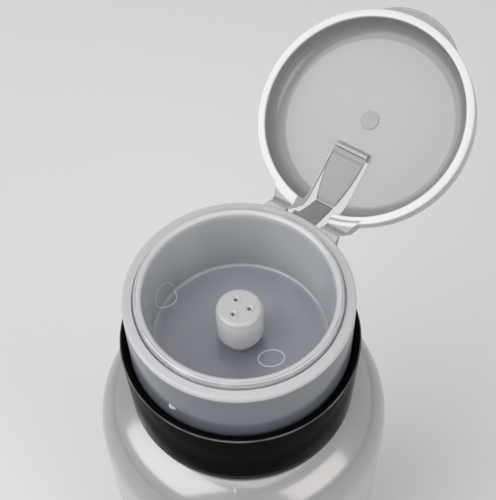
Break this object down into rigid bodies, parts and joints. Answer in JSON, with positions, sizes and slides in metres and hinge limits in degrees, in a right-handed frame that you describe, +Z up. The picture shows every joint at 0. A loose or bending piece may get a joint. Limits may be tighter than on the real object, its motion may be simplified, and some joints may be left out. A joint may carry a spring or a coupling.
{
  "type": "liquid dispenser bottle",
  "caption": "Round translucent bottle with a black screw collar and a press-top pump: a dish with a central nozzle, under a round flip lid on a snap-strap hinge.",
  "frame": {"origin": "centre of the bottle's flat base", "axes": "+Z up along the bottle's axis, +Y towards the lid's hinge, +X parallel to the hinge"},
  "size_m": [0.062, 0.0974, 0.153],
  "materials": {
    "translucent_bottle": "translucent blow-moulded, fine matt",
    "black_gloss": "polished black",
    "clear_head": "translucent, glossy",
    "clear_dish": "translucent, glossy",
    "white_nozzle": "milky white, satin",
    "milky_lid": "milky translucent, glossy",
    "strap_film": "translucent film",
    "pump_white": "natural white, satin",
    "seal_rubber": "soft foam and elastomer",
    "spring_steel": "bright stainless",
    "tube_clear": "translucent tube"
  },
  "bodies": {
    "bottle": {"bottle": "translucent_bottle"},
    "pump": {"neck_gasket": "seal_rubber", "pump_housing": "pump_white", "stem_guide": "black_gloss", "stem_seal": "seal_rubber", "dip_tube": "tube_clear", "ball_cage": "pump_white", "return_spring": "spring_steel"},
    "collar": {"screw_collar": "black_gloss"},
    "stem": {"piston_stem": "pump_white", "stem_plug": "pump_white"},
    "piston": {"piston": "pump_white"},
    "outlet_valve": {"outlet_ball": "spring_steel"},
    "inlet_valve": {"inlet_ball": "spring_steel"},
    "head": {"press_head": "clear_head", "press_dish": "clear_dish", "nozzle_cap": "white_nozzle"},
    "lid": {"flip_lid": "milky_lid"},
    "lower_link": {"strap_lower": "strap_film"},
    "upper_link": {"strap_upper": "strap_film"}
  },
  "joints": [
    {"name": "pump_lift", "type": "slide", "parent": "bottle", "child": "pump", "axis": [0, 0, 1], "range_m": [0, 0.1065]},
    {"name": "collar_turn", "type": "hinge", "parent": "pump", "child": "collar", "pos_m": [0, 0, 0.1092], "axis": [0, 0, 1], "range_deg": [0, 540]},
    {"name": "head_press", "type": "slide", "parent": "pump", "child": "stem", "axis": [0, 0, -1], "range_m": [0, 0.004], "stiffness_N_per_m": 1000, "springref_m": -0.005, "deforming": ["return_spring"]},
    {"name": "piston_slip", "type": "slide", "parent": "stem", "child": "piston", "axis": [0, 0, 1], "range_m": [0, 0.0008]},
    {"name": "outlet_lift", "type": "slide", "parent": "stem", "child": "outlet_valve", "axis": [0, 0, 1], "range_m": [0, 0.001]},
    {"name": "inlet_lift", "type": "slide", "parent": "pump", "child": "inlet_valve", "axis": [0, 0, 1], "range_m": [0, 0.0012]},
    {"name": "head_twist", "type": "hinge", "parent": "stem", "child": "head", "pos_m": [0, 0, 0.1231], "axis": [0, 0, 1], "range_deg": [-90, 0]},
    {"name": "lid_flip", "type": "hinge", "parent": "head", "child": "lid", "pos_m": [0, 0.0231, 0.13025], "axis": [1, 0, 0], "range_deg": [0, 147.6]},
    {"name": "strap_lower_fold", "type": "hinge", "parent": "head", "child": "lower_link", "pos_m": [0, 0.02275, 0.1306], "axis": [1, 0, 0], "range_deg": [0, 145]},
    {"name": "strap_upper_fold", "type": "hinge", "parent": "lid", "child": "upper_link", "pos_m": [0, 0.03978, 0.13308], "axis": [1, 0, 0], "range_deg": [0, 5.3]}
  ],
  "couplings": [
    {"joint": "strap_lower_fold", "follows": "lid_flip", "ratio": 0.9821},
    {"joint": "strap_upper_fold", "follows": "lid_flip", "ratio": 0.0354}
  ]
}
